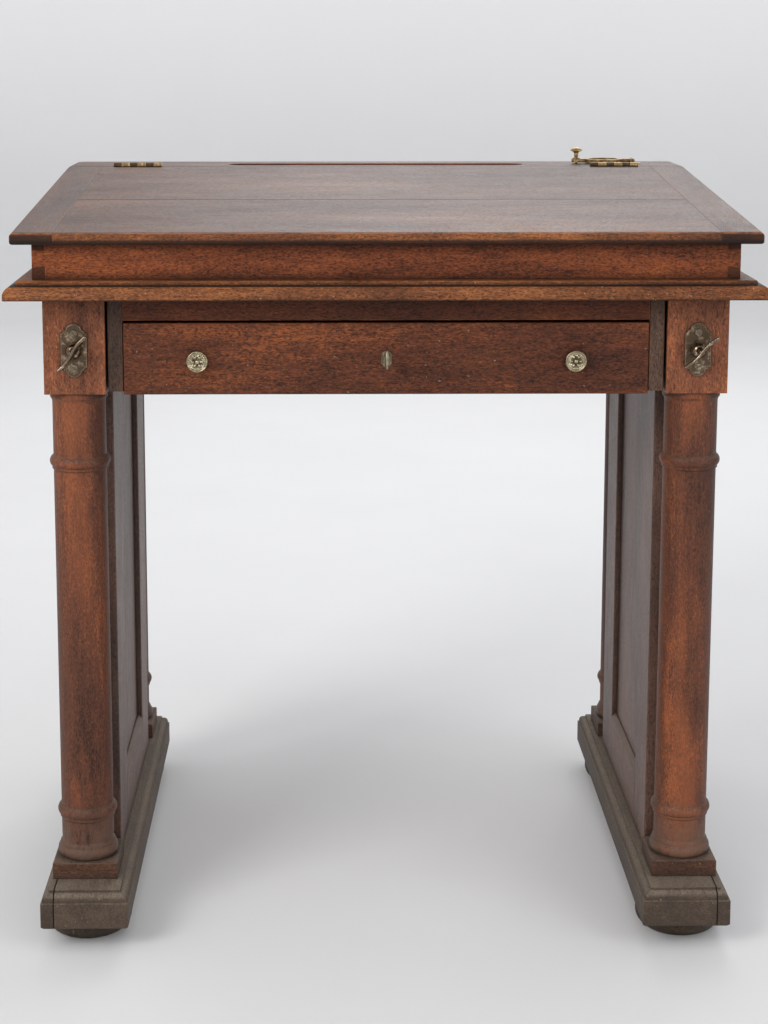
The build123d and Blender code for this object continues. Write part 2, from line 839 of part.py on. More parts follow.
# ---------------------------------------------------------------- drawer
front_back = drawer_face + drawer_front_thickness
drawer_half = drawer_width / 2
side_outer = drawer_half - 0.3
side_inner = side_outer - drawer_side_thickness
drawer_back_face = drawer_face + drawer_length
bottom_z = drawer_side_bottom + groove_depth  # underside of the drawer bottom
groove_outer = side_inner + groove_depth
bottom_levels = (bottom_z, bottom_z + drawer_bottom_thickness)


def keyhole(y, depth):
    """A keyhole cut backwards from y: a round eye over a slot for the bit."""
    with Locations(Location((0, y + depth / 2, key_z), (90, 0, 0))):
        Cylinder(key_shaft_radius + 0.4, depth, mode=Mode.SUBTRACT)
    slot_half = bit_thickness / 2 + 0.4
    slab(-slot_half, slot_half, y, y + depth, key_z - bit_reach - 0.4, key_z, mode=Mode.SUBTRACT)


def escutcheon_outline(grow=0.0):
    """A small brass shield: round head, straight sides and a pointed round foot."""
    half = escutcheon_width / 2 + grow
    with BuildSketch() as outline:
        with Locations((0, escutcheon_top - half)):
            Circle(half)
        with BuildLine():
            Polyline(
                (-half, escutcheon_top - half),
                (-half, escutcheon_bottom + half),
                (0, escutcheon_bottom - grow),
                (half, escutcheon_bottom + half),
                (half, escutcheon_top - half),
                close=True,
            )
        make_face()
    return outline.sketch


with BuildPart() as drawer_front:
    slab(-drawer_half, drawer_half, drawer_face, front_back, drawer_front_bottom, drawer_front_top)
    chamfer(drawer_front.faces().sort_by(Axis.Y)[0].edges(), length=0.8)
    slab(
        -groove_outer, groove_outer, front_back - groove_depth, front_back,
        *bottom_levels, mode=Mode.SUBTRACT,
    )
    with BuildSketch(upright(0, drawer_face)):
        with Locations((-knob_x, knob_z), (knob_x, knob_z)):
            Circle(knob_spigot_radius + running_gap)
    extrude(amount=-knob_spigot_length, mode=Mode.SUBTRACT)
    with BuildSketch(upright(0, drawer_face)):
        add(escutcheon_outline())
    extrude(amount=-escutcheon_inlay, mode=Mode.SUBTRACT)
    keyhole(drawer_face, drawer_front_thickness)
finish(drawer_front, "drawer_front")

with BuildPart() as drawer_sides:
    for s in (-1, 1):
        slab(
            s * side_inner, s * side_outer, front_back, drawer_back_face,
            drawer_side_bottom, drawer_side_top,
        )
        slab(
            s * side_inner, s * groove_outer, front_back, drawer_back_face,
            *bottom_levels, mode=Mode.SUBTRACT,
        )
finish(drawer_sides, "drawer_sides")

with BuildPart() as drawer_back:
    slab(
        -side_inner, side_inner, drawer_back_face - drawer_back_thickness, drawer_back_face,
        bottom_levels[1], drawer_side_top - 2,
    )
finish(drawer_back, "drawer_back")

with BuildPart() as drawer_bottom:
    slab(-groove_outer, groove_outer, front_back - groove_depth, drawer_back_face, *bottom_levels)
finish(drawer_bottom, "drawer_bottom")

with BuildPart() as knob:
    with BuildSketch(Plane.XZ):
        with BuildLine():
            Polyline(
                (0, -knob_spigot_length),
                (knob_spigot_radius, -knob_spigot_length),
                (knob_spigot_radius, 0),
                (knob_rose_radius, 0),
                (knob_rose_radius, 1.2),
                (knob_rose_radius - 1.4, 2.6),
                (knob_neck_radius + 1.6, 2.6),
            )
            RadiusArc((knob_neck_radius + 1.6, 2.6), (knob_neck_radius, 6.0), 5)
            Line((knob_neck_radius, 6.0), (knob_neck_radius, 9.0))
            RadiusArc((knob_neck_radius, 9.0), (knob_radius - 1.0, 13.5), 9)
            ThreePointArc((knob_radius - 1.0, 13.5), (knob_radius, 14.8), (knob_radius - 1.2, 16.0))
            Line((knob_radius - 1.2, 16.0), (knob_radius - 2.6, 15.2))
            crown = dome_radius(knob_radius - 2.6, knob_height - 15.2)
            RadiusArc((knob_radius - 2.6, 15.2), (0, knob_height), -crown)
            Line((0, knob_height), (0, -knob_spigot_length))
        make_face()
    revolve(axis=Axis.Z)

with BuildPart() as drawer_knobs:
    for x in (-knob_x, knob_x):
        with Locations(Location((x, drawer_face, knob_z), (90, 0, 0))):
            add(knob.part)
finish(drawer_knobs, "drawer_knobs")

with BuildPart() as escutcheon:
    with BuildSketch(upright(0, drawer_face + escutcheon_inlay)):
        add(escutcheon_outline(-0.05))
    extrude(amount=escutcheon_thickness)
    keyhole(drawer_face - 1, escutcheon_thickness + 1)
finish(escutcheon, "escutcheon")

# ---------------------------------------------------------------- lock and key
bolt_half = bolt_width / 2
bolt_front = front_back + bolt_setback

with BuildPart() as lock_case:
    slab(-lock_width / 2, lock_width / 2, front_back, front_back + lock_depth, lock_bottom, lock_top)
    fillet(lock_case.faces().sort_by(Axis.Y)[-1].edges(), radius=0.8)
    slab(
        lock_wall - lock_width / 2, lock_width / 2 - lock_wall,
        front_back, front_back + lock_depth - lock_wall,
        lock_bottom + lock_wall, lock_top - lock_wall, mode=Mode.SUBTRACT,
    )
    slab(
        -bolt_half - running_gap, bolt_half + running_gap,
        front_back, front_back + lock_depth - lock_wall,
        lock_top - lock_wall, lock_top, mode=Mode.SUBTRACT,
    )
finish(lock_case, "lock_case")

with BuildPart() as lock_bolt:
    slab(
        -bolt_half, bolt_half, bolt_front, bolt_front + bolt_thickness,
        key_z + bit_reach + 0.6, lock_top + bolt_show,
    )
    chamfer(lock_bolt.faces().sort_by(Axis.Z)[-1].edges(), length=0.6)
finish(lock_bolt, "lock_bolt")

with BuildPart() as key:
    shaft_end = front_back + lock_depth - lock_wall - 0.4
    bow_y = drawer_face - key_reach
    bow_back = bow_y + bow_depth / 2
    with BuildSketch(sideways(-bow_thickness / 2)):
        with Locations((bow_y, key_z)):
            Ellipse(bow_depth / 2, bow_height / 2)
    extrude(amount=bow_thickness)
    fillet(key.edges(), radius=0.9)
    with BuildSketch(sideways(-bow_thickness / 2)):
        with Locations((bow_y, key_z)):
            Circle(1.9)
    extrude(amount=bow_thickness, mode=Mode.SUBTRACT)
    for start, end, radius in (
        (bow_back - 1.5, shaft_end, key_shaft_radius),
        (bow_back + 0.5, bow_back + 1.9, key_shaft_radius + 1),
        (bow_back + 3.5, bow_back + 4.9, key_shaft_radius + 1),
    ):
        with BuildSketch(upright(0, end)):
            with Locations((0, key_z)):
                Circle(radius)
        extrude(amount=end - start)
    slab(
        -bit_thickness / 2, bit_thickness / 2, shaft_end - bit_width, shaft_end,
        key_z - bit_reach, key_z,
    )
finish(key, "key")

# ---------------------------------------------------------------- inkwell and its hinged ring
ring_bottom = shelf_height + ink_flange_thickness + 0.3
ring_top = ring_bottom + ink_ring_height
pivot_z = ring_bottom + ink_ring_height / 2

with BuildPart() as inkwell_pot:
    foot_z = shelf_height - ink_pot_depth
    with BuildSketch(Plane.XZ):
        with BuildLine():
            Polyline(
                (0, foot_z),
                (ink_pot_radius - 2, foot_z),
                (ink_pot_radius, foot_z + 3),
                (ink_pot_radius, shelf_height),
                (ink_pot_flange, shelf_height),
                (ink_pot_flange, shelf_height + ink_flange_thickness),
                (ink_mouth_radius, shelf_height + ink_flange_thickness),
                (ink_mouth_radius, shelf_height - 6),
            )
            RadiusArc(
                (ink_mouth_radius, shelf_height - 6), (ink_pot_radius - 3, shelf_height - 12), -6
            )
            Polyline(
                (ink_pot_radius - 3, shelf_height - 12),
                (ink_pot_radius - 3, foot_z + 4),
                (0, foot_z + 4),
                (0, foot_z),
            )
        make_face()
    revolve(axis=Axis.Z)
with BuildPart() as placed_pot:
    with Locations((ink_x, ink_y, 0)):
        add(inkwell_pot.part)
finish(placed_pot, "inkwell_pot")

with BuildPart() as inkwell_ring:
    with BuildSketch(Plane.XY.offset(ring_bottom)):
        with Locations((ink_x, ink_y)):
            Circle(ink_ring_radius)
        with Locations(((ink_x + ink_knob_x) / 2, ink_y)):
            SlotOverall(ink_x - ink_knob_x + ink_tab_width, ink_tab_width)
        with Locations(((ink_x + ink_pivot_x) / 2, ink_y)):
            Rectangle(ink_pivot_x - ink_x, ink_arm_width)
        with Locations((ink_x, ink_y)):
            Circle(ink_hole_radius, mode=Mode.SUBTRACT)
        with Locations((ink_knob_x, ink_y)):
            Circle(ink_stem_radius + running_gap, mode=Mode.SUBTRACT)
    extrude(amount=ink_ring_height)
    with BuildSketch(upright(0, ink_y)):
        with Locations((ink_pivot_x, pivot_z)):
            Circle(ink_ring_height / 2)
    extrude(amount=ink_arm_width / 2, both=True)
    with BuildSketch(upright(0, ink_y)):
        with Locations((ink_pivot_x, pivot_z)):
            Circle(pin_radius + running_gap)
    extrude(amount=ink_arm_width, both=True, mode=Mode.SUBTRACT)
finish(inkwell_ring, "inkwell_ring")

with BuildPart() as inkwell_knob:
    with BuildSketch(Plane.XZ):
        with BuildLine():
            Polyline(
                (0, ring_bottom - ink_stem_depth - 2),
                (ink_stem_radius, ring_bottom - ink_stem_depth - 2),
                (ink_stem_radius, ring_bottom),
            )
            Polyline(
                (ink_stem_radius, ring_bottom),
                (ink_stem_radius, ring_top),
                (ink_collar_radius, ring_top),
                (ink_collar_radius, ring_top + 1.4),
                (ink_neck_radius, ring_top + 2.2),
                (ink_neck_radius, ink_knob_top - 8.0),
            )
            RadiusArc(
                (ink_neck_radius, ink_knob_top - 8.0), (ink_knob_radius, ink_knob_top - 5.0), 8
            )
            crown = dome_radius(ink_knob_radius, 4.2)
            Line((ink_knob_radius, ink_knob_top - 5.0), (ink_knob_radius, ink_knob_top - 4.2))
            RadiusArc((ink_knob_radius, ink_knob_top - 4.2), (0, ink_knob_top), -crown)
            Line((0, ink_knob_top), (0, ring_bottom - ink_stem_depth - 2))
        make_face()
    revolve(axis=Axis.Z)
with BuildPart() as placed_knob:
    with Locations((ink_knob_x, ink_y, 0)):
        add(inkwell_knob.part)
finish(placed_knob, "inkwell_knob")

with BuildPart() as inkwell_bracket:
    lug_inner = ink_arm_width / 2 + 0.3
    lug_outer = lug_inner + ink_lug_thickness
    slab(
        ink_pivot_x - 6, ink_pivot_x + 12, ink_y - lug_outer, ink_y + lug_outer,
        shelf_height, shelf_height + ink_base_thickness,
    )
    for s in (-1, 1):
        with BuildSketch(upright(0, ink_y + s * (lug_inner + lug_outer) / 2)):
            with Locations((ink_pivot_x, pivot_z)):
                Circle(ink_ring_height / 2 + 0.6)
            with Locations((ink_pivot_x, (shelf_height + pivot_z) / 2)):
                Rectangle(ink_ring_height + 1.2, pivot_z - shelf_height)
        extrude(amount=ink_lug_thickness / 2, both=True)
    with BuildSketch(upright(0, ink_y)):
        with Locations((ink_pivot_x, pivot_z)):
            Circle(pin_radius + running_gap)
    extrude(amount=ink_arm_width, both=True, mode=Mode.SUBTRACT)
finish(inkwell_bracket, "inkwell_bracket")

with BuildPart() as inkwell_pin:
    with BuildSketch(upright(0, ink_y)):
        with Locations((ink_pivot_x, pivot_z)):
            Circle(pin_radius)
    extrude(amount=lug_outer, both=True)
finish(inkwell_pin, "inkwell_pin")
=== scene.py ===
"""Looks of the oak writing desk: old waxed oak, aged brass, dark bronze, ink glass, light and camera."""

from math import atan2, cos, hypot, pi, radians, sin

import bmesh
import bpy
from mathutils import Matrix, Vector


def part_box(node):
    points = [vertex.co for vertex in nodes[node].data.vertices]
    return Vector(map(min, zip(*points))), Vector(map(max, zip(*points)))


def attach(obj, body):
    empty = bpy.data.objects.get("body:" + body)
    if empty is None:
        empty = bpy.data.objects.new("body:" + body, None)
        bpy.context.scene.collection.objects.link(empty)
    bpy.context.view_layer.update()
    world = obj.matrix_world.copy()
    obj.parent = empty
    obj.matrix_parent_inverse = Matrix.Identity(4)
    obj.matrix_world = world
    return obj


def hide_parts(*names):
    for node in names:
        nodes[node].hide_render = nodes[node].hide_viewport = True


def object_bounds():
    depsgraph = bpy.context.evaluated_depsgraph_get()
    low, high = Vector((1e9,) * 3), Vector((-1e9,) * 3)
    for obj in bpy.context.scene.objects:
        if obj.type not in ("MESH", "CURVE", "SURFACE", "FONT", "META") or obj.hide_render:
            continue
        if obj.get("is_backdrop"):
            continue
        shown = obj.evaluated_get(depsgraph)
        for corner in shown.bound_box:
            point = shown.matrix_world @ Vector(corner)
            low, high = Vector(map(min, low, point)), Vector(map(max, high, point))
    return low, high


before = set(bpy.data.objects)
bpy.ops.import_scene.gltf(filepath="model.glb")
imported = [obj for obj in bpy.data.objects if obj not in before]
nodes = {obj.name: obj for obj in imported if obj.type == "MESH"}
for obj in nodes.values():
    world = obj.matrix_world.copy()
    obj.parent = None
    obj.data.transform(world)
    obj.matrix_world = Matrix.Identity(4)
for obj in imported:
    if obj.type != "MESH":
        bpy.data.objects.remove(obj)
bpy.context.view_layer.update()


# ---------------------------------------------------------------- colour and node helpers
def srgb(red, green, blue):
    """A colour given in 0 to 255 display values, as linear RGBA."""
    linear = [
        (c / 255 / 12.92) if c < 11 else ((c / 255 + 0.055) / 1.055) ** 2.4
        for c in (red, green, blue)
    ]
    return (*linear, 1.0)


class Graph:
    """A material's node tree with short calls for the nodes used here."""

    def __init__(self, name):
        self.material = bpy.data.materials.new(name)
        self.material.use_nodes = True
        self.tree = self.material.node_tree
        self.shader = self.tree.nodes["Principled BSDF"]
        self.place = self.node("ShaderNodeTexCoord").outputs["Object"]
        self.normal = self.node("ShaderNodeNewGeometry").outputs["Normal"]

    def node(self, kind, **settings):
        made = self.tree.nodes.new(kind)
        for key, value in settings.items():
            setattr(made, key, value)
        return made

    def set(self, socket, value):
        """Links or sets one input socket."""
        if isinstance(value, bpy.types.NodeSocket):
            self.tree.links.new(value, socket)
        else:
            socket.default_value = value

    def stretch(self, scale, seed=0.0):
        """Object coordinates scaled by axis and moved by seed, so that boards differ."""
        mapping = self.node("ShaderNodeMapping")
        self.set(mapping.inputs["Vector"], self.place)
        mapping.inputs["Scale"].default_value = scale
        mapping.inputs["Location"].default_value = (seed * 1.7, seed * 2.9, seed * 0.6)
        return mapping.outputs["Vector"]

    def coordinate(self, letter):
        """The object's own X, Y or Z in metres."""
        apart = self.node("ShaderNodeSeparateXYZ")
        self.set(apart.inputs[0], self.place)
        return apart.outputs[letter]

    def noise(self, vector, scale, detail=4.0, rough=0.55, distortion=0.0):
        texture = self.node("ShaderNodeTexNoise")
        self.set(texture.inputs["Vector"], vector)
        for key, value in (
            ("Scale", scale), ("Detail", detail), ("Roughness", rough), ("Distortion", distortion)
        ):
            texture.inputs[key].default_value = value
        return texture.outputs["Fac"]

    def ramp(self, factor, low, high, start=0.0, end=1.0):
        """Remaps factor smoothly from low..high to start..end."""
        remap = self.node("ShaderNodeMapRange", interpolation_type="SMOOTHSTEP")
        for key, value in (
            ("Value", factor), ("From Min", low), ("From Max", high), ("To Min", start), ("To Max", end)
        ):
            self.set(remap.inputs[key], value)
        return remap.outputs["Result"]

    def math(self, operation, first, second=0.0, clamp=False):
        made = self.node("ShaderNodeMath", operation=operation, use_clamp=clamp)
        self.set(made.inputs[0], first)
        self.set(made.inputs[1], second)
        return made.outputs[0]

    def times(self, first, second, clamp=False):
        return self.math("MULTIPLY", first, second, clamp)

    def without(self, factor):
        """One minus a factor."""
        return self.math("SUBTRACT", 1.0, factor)

    def weighted(self, *parts):
        """The sum of (factor, weight) pairs."""
        total = None
        for factor, weight in parts:
            part = self.times(factor, weight)
            total = part if total is None else self.math("ADD", total, part)
        return total

    def mix(self, factor, first, second):
        """Mixes two colours."""
        made = self.node("ShaderNodeMix", data_type="RGBA", blend_type="MIX")
        self.set(made.inputs[0], factor)
        self.set(made.inputs[6], first)
        self.set(made.inputs[7], second)
        return made.outputs[2]

    def dot(self, first, second):
        made = self.node("ShaderNodeVectorMath", operation="DOT_PRODUCT")
        self.set(made.inputs[0], first)
        self.set(made.inputs[1], second)
        return made.outputs["Value"]

    def rounded(self, radius):
        """The normal with every arris rounded to a radius."""
        bevel = self.node("ShaderNodeBevel", samples=4)
        bevel.inputs["Radius"].default_value = radius
        return bevel.outputs["Normal"]

    def edges(self, rounded, low, high):
        """Near 1 where the rounded normal leaves the flat one, on sharp arrises."""
        return self.ramp(self.without(self.dot(rounded, self.normal)), low, high)

    def shelter(self, distance, low=0.35, high=0.95):
        """Near 1 in corners and crevices, 0 on open faces."""
        occlusion = self.node("ShaderNodeAmbientOcclusion", samples=6)
        occlusion.inputs["Distance"].default_value = distance
        return self.ramp(occlusion.outputs["AO"], low, high, 1.0, 0.0)

    def facing(self, axis, low, high):
        """Near 1 on faces that look along an axis, such as (0, 0, 1) for upward faces."""
        return self.ramp(self.dot(self.normal, axis), low, high)

    def bump(self, layers, normal=None):
        """Chains bumps, each a height and a depth in metres, over the given normal."""
        for height, depth in layers:
            made = self.node("ShaderNodeBump")
            made.inputs["Distance"].default_value = depth
            self.set(made.inputs["Height"], height)
            if normal is not None:
                self.set(made.inputs["Normal"], normal)
            normal = made.outputs["Normal"]
        self.set(self.shader.inputs["Normal"], normal)


# ---------------------------------------------------------------- oak
# Each palette is dark, middle and light
FRONT_OAK = (srgb(34, 18, 12), srgb(90, 49, 31), srgb(144, 80, 44))
CASE_OAK = (srgb(48, 24, 13), srgb(122, 64, 36), srgb(172, 96, 50))
MOULDING_OAK = (srgb(34, 20, 13), srgb(104, 61, 36), srgb(158, 98, 56))
COLUMN_OAK = (srgb(40, 23, 17), srgb(94, 54, 38), srgb(158, 88, 50))
POST_OAK = (srgb(50, 29, 21), srgb(120, 72, 50), srgb(180, 108, 66))
BLOCK_OAK = (srgb(36, 22, 16), srgb(76, 49, 37), srgb(112, 74, 54))
RAIL_OAK = (srgb(32, 16, 10), srgb(80, 42, 25), srgb(114, 60, 34))
STILE_OAK = (srgb(34, 24, 20), srgb(72, 52, 42), srgb(96, 72, 58))
CARCASS_OAK = (srgb(38, 24, 19), srgb(78, 49, 36), srgb(112, 70, 48))
TOP_OAK = (srgb(48, 32, 26), srgb(92, 66, 54), srgb(130, 96, 78))
BASE_OAK = (srgb(34, 27, 23), srgb(70, 57, 48), srgb(98, 80, 66))
PANEL_OAK = (srgb(44, 29, 24), srgb(86, 60, 49), srgb(116, 84, 69))
INNER_OAK = (srgb(112, 78, 50), srgb(150, 112, 76), srgb(180, 142, 102))
DUST = srgb(126, 114, 100)
WORN = srgb(178, 100, 52)
RUBBED_GREY = srgb(140, 124, 104)
PALE_NICK = srgb(184, 166, 144)
# Near-black for dark pores and joint lines, and for painted shade in corners, crevices and under edges
GRIME_AND_SHADE = srgb(22, 16, 14)

# Stretch of the noise along the grain: long streaks, softer mottling, short flecks
ALONG = {"x": (0.06, 1.0, 1.0), "y": (1.0, 0.06, 1.0), "z": (1.0, 1.0, 0.06)}
SOFT_ALONG = {"x": (0.28, 1.0, 1.0), "y": (1.0, 0.28, 1.0), "z": (1.0, 1.0, 0.28)}
SHORT_ALONG = {"x": (0.45, 1.0, 1.0), "y": (1.0, 0.45, 1.0), "z": (1.0, 1.0, 0.45)}
EVEN = (1, 1, 1)
AXIS = {"x": (1, 0, 0), "y": (0, 1, 0), "z": (0, 0, 1)}
UP, DOWN, FRONT = (0, 0, 1), (0, 0, -1), (0, -1, 0)

# Noise scales per metre, from broad clouds of polish down to single pores
CLOUD_SCALE, MOTTLE_SCALE, STREAK_SCALE, FLECK_SCALE, PORE_SCALE = 11.0, 70.0, 330.0, 560.0, 820.0
DENT_SCALE, CHIP_SCALE = 30.0, 210.0
# Sizes in metres
ARRIS_RADIUS = 0.0022
CORNER_REACH = 0.014
PORE_DEPTH, FLECK_DEPTH, CHIP_DEPTH = 0.00025, 0.00030, 0.0004
OAK_IOR = 1.45


def oak(
    name, grain, tones, seed, rough=0.42, wear=1.0, dust=0.0, specks=0.5, shine=0.22, nick=WORN,
    edge_tones=None, seams=(), rubbed_front=0.0, foot_dust=None, waviness=0.0009, worn=WORN,
    speckle=1.0, end_dark=0.8,
):
    """Old oak: streaks and pores along the grain, ray flecks, dark mottling, rubbed arrises and dust.

    edge_tones is a second palette for the edges of a top, the list of dark lines holds (axis, place, half
    width, strength) of joints and of painted shade under edges and in recesses, and foot_dust is the height
    in metres where floor dirt fades out.
    """
    g = Graph(name)
    dark, middle, light = tones
    fine, soft = g.stretch(ALONG[grain], seed), g.stretch(SOFT_ALONG[grain], seed + 3.1)
    short, plain = g.stretch(SHORT_ALONG[grain], seed + 5.3), g.stretch(EVEN, seed + 7.7)

    clouds = g.noise(soft, CLOUD_SCALE, detail=3.0)
    mottle = g.noise(soft, MOTTLE_SCALE, detail=5.0, rough=0.7)
    streaks = g.noise(fine, STREAK_SCALE, detail=4.0, rough=0.65, distortion=0.2)
    flecks = g.noise(short, FLECK_SCALE, detail=2.0, rough=0.7, distortion=0.4)
    pores = g.ramp(g.noise(soft, PORE_SCALE, detail=1.0), 0.54, 0.66)

    tone = g.weighted((clouds, 0.50), (mottle, 0.30), (streaks, 0.18), (flecks, 0.46))
    if edge_tones:
        edge = g.without(g.facing(UP, 0.55, 0.93))
        dark, middle, light = (g.mix(edge, flat, side) for flat, side in zip(tones, edge_tones))
    colour = g.mix(g.ramp(tone, 0.50, 0.74), dark, middle)
    colour = g.mix(g.ramp(tone, 0.70, 0.92), colour, light)
    colour = g.mix(g.times(pores, 0.6 * speckle), colour, GRIME_AND_SHADE)
    if edge_tones:
        under = g.times(g.facing(DOWN, 0.6, 0.95), 0.65)
        colour = g.mix(under, colour, middle)
    # Painted light on the round columns: faces looking to the front are lightened in patches, part rubbed
    # wear and part painted highlight, and the sides are darkened as painted shade
    if rubbed_front:
        front = g.times(g.facing(FRONT, 0.80, 0.99), g.ramp(clouds, 0.36, 0.60))
        colour = g.mix(g.times(front, rubbed_front), colour, g.mix(flecks, middle, light))
        sides = g.without(g.facing(FRONT, 0.25, 0.85))
        colour = g.mix(g.times(sides, 0.75 * rubbed_front), colour, dark)

    # End grain soaks up more polish and dirt
    end_grain = g.ramp(g.math("ABSOLUTE", g.dot(g.normal, AXIS[grain])), 0.8, 0.97)
    colour = g.mix(g.times(end_grain, end_dark), colour, dark)

    # Rubbed arrises, painted shade in corners and pale chips
    softened = g.rounded(ARRIS_RADIUS)
    rub = g.times(g.edges(softened, 0.02, 0.30), g.ramp(mottle, 0.40, 0.60))
    colour = g.mix(g.times(rub, 0.7 * wear), colour, worn)
    if edge_tones:
        nose = g.times(edge, g.without(edge))
        nose = g.times(g.times(nose, 3.2), g.ramp(mottle, 0.36, 0.58))
        colour = g.mix(g.times(nose, 0.9 * wear, clamp=True), colour, WORN)
    # Painted shade: corners and crevices found by occlusion are darkened towards near-black
    corner = g.times(g.shelter(CORNER_REACH), g.ramp(mottle, 0.3, 0.6, 0.65, 1.0))
    colour = g.mix(g.times(corner, 0.85), colour, GRIME_AND_SHADE)
    chips = g.ramp(g.noise(plain, CHIP_SCALE, detail=2.0), 0.725, 0.745)
    colour = g.mix(g.times(chips, 0.8 * specks), colour, nick)

    # Dust settles on upward faces and in corners, and floor dirt on the feet
    if dust:
        settled = g.times(g.facing(UP, 0.25, 0.85), g.ramp(mottle, 0.25, 0.65, 0.45, 1.0))
        caught = g.math("MAXIMUM", settled, g.times(corner, 0.45))
        caught = g.times(caught, g.ramp(flecks, 0.36, 0.62, 0.55, 1.25))
        veil = g.times(g.math("ADD", g.times(caught, 0.8), 0.12), dust, clamp=True)
        if foot_dust:
            low = g.ramp(g.coordinate("Z"), *foot_dust, 1.0, 0.0)
            low = g.times(low, g.ramp(mottle, 0.30, 0.52))
            veil = g.math("MAXIMUM", veil, g.times(low, 0.22))
            colour = g.mix(g.times(low, 0.60), colour, BLOCK_OAK[1])
        colour = g.mix(veil, colour, DUST)
    # Dark lines: joints, and painted shade under edges and in recesses
    for axis, place, half_width, strength in seams:
        away = g.math("ABSOLUTE", g.math("SUBTRACT", g.coordinate(axis), place))
        line = g.ramp(away, half_width * 0.5, half_width, strength, 0.0)
        colour = g.mix(line, colour, GRIME_AND_SHADE)
    g.set(g.shader.inputs["Base Color"], colour)

    gloss = g.math("ADD", g.weighted((mottle, 0.34), (flecks, 0.14)), rough - 0.22)
    if dust:
        gloss = g.math("ADD", gloss, g.times(veil, 0.35))
    g.set(g.shader.inputs["Roughness"], g.math("MINIMUM", gloss, 0.95))
    g.shader.inputs["IOR"].default_value = OAK_IOR
    g.shader.inputs["Specular IOR Level"].default_value = shine
    dents = g.noise(plain, DENT_SCALE, detail=3.0)
    g.bump(
        (
            (dents, waviness), (g.without(pores), PORE_DEPTH), (flecks, FLECK_DEPTH),
            (g.without(chips), CHIP_DEPTH),
        ),
        normal=softened,
    )
    return g.material


# ---------------------------------------------------------------- metals, glass and floor
PATCH_SCALE, GRAIN_SCALE, SCRATCH_SCALE = 160.0, 1500.0, 1900.0
SCRATCH_STRETCH = (1.0, 0.06, 0.4)
CREVICE_REACH = 0.006
PATCH_DEPTH, GRAIN_DEPTH, SCRATCH_DEPTH = 0.00008, 0.00003, 0.00001


def metal(name, bright, dull, rough, crevice_shade=0.8, rim=0.0011):
    """Old metal: bright where rubbed, dull, darkened in the corners as painted shade, with fine scratches.
    """
    g = Graph(name)
    plain = g.stretch(EVEN)
    patches = g.noise(plain, PATCH_SCALE, detail=5.0, rough=0.65)
    fine = g.noise(plain, GRAIN_SCALE, detail=3.0)
    rubbed = g.math("MAXIMUM", g.edges(g.rounded(rim), 0.01, 0.22), g.ramp(patches, 0.50, 0.72))
    colour = g.mix(rubbed, dull, bright)
    # Painted shade: crevices found by occlusion are darkened towards near-black
    hidden = g.shelter(CREVICE_REACH, 0.30, 0.90)
    colour = g.mix(g.times(hidden, crevice_shade), colour, GRIME_AND_SHADE)
    g.set(g.shader.inputs["Base Color"], colour)
    g.shader.inputs["Metallic"].default_value = 1.0
    scratches = g.noise(g.stretch(SCRATCH_STRETCH, 2.0), SCRATCH_SCALE, detail=2.0)
    gloss = g.weighted((patches, 0.22), (hidden, 0.25), (g.ramp(scratches, 0.55, 0.75), 0.06))
    g.set(g.shader.inputs["Roughness"], g.math("ADD", gloss, rough - 0.11))
    g.bump(((patches, PATCH_DEPTH), (fine, GRAIN_DEPTH), (scratches, SCRATCH_DEPTH)))
    return g.material


CLEAR_GLASS, DRIED_INK = srgb(214, 226, 218), srgb(70, 74, 96)


def ink_glass(name):
    """Thick moulded glass with a greenish cast and a film of dried ink inside."""
    g = Graph(name)
    film = g.ramp(g.noise(g.stretch(EVEN), 140.0, detail=4.0), 0.42, 0.66)
    g.set(g.shader.inputs["Base Color"], g.mix(g.times(film, 0.35), CLEAR_GLASS, DRIED_INK))
    g.set(g.shader.inputs["Roughness"], g.math("ADD", g.times(film, 0.25), 0.05))
    g.shader.inputs["Transmission Weight"].default_value = 0.85
    g.shader.inputs["IOR"].default_value = 1.5
    return g.material


FLOOR_DARK, FLOOR_LIGHT, WALL_WHITE = (0.64, 0.64, 0.645, 1), (0.69, 0.69, 0.695, 1), (0.92, 0.92, 0.925, 1)
WALL_FULL_HEIGHT = 1.6


def paper_white(name):
    """Matt pale studio floor, a little lighter where it turns up into the wall."""
    g = Graph(name)
    weave = g.noise(g.stretch(EVEN), 2.2, detail=3.0)
    floor = g.mix(weave, FLOOR_DARK, FLOOR_LIGHT)
    wall = g.ramp(g.coordinate("Z"), 0.0, WALL_FULL_HEIGHT)
    g.set(g.shader.inputs["Base Color"], g.mix(wall, floor, WALL_WHITE))
    g.shader.inputs["Roughness"].default_value = 0.85
    g.shader.inputs["Specular IOR Level"].default_value = 0.2
    return g.material


# ---------------------------------------------------------------- finishes of the CAD nodes
def paint(names, make):
    """Gives each node its own material; make takes the material's name and the node's number."""
    for index, name in enumerate(names):
        node = nodes[name]
        material = make(f"{name}_finish", index)
        if not node.material_slots:
            node.data.materials.append(material)
        for material_slot in node.material_slots:
            material_slot.material = material


def paint_oak(names, grain, tones, first_seed, **look):
    """Paints boards as oak, each with its own seed, so that no two boards match."""
    paint(names, lambda name, index: oak(name, grain, tones, index + first_seed, **look))


def paint_metal(names, bright, dull, **look):
    paint(names, lambda name, index: metal(name, bright, dull, **look))


# Dark lines read from the boards' own edges: (axis, place, half width, strength); the board, end and
# plinth lines are joints, and the nose, quirk and under-edge lines are painted shade
board_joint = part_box("lid_rear_board")[0].y
hinge_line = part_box("pen_shelf")[0].y
left_joint, right_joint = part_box("lid_end_left")[1].x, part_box("lid_end_right")[0].x
board_seams = (("Y", board_joint, 0.0034, 0.95), ("Y", hinge_line, 0.0022, 0.8))
end_seams = (("X", left_joint, 0.0008, 0.35), ("X", right_joint, 0.0008, 0.35))
nose_shade = ("Z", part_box("lid_front_board")[0].z, 0.0070, 0.85)
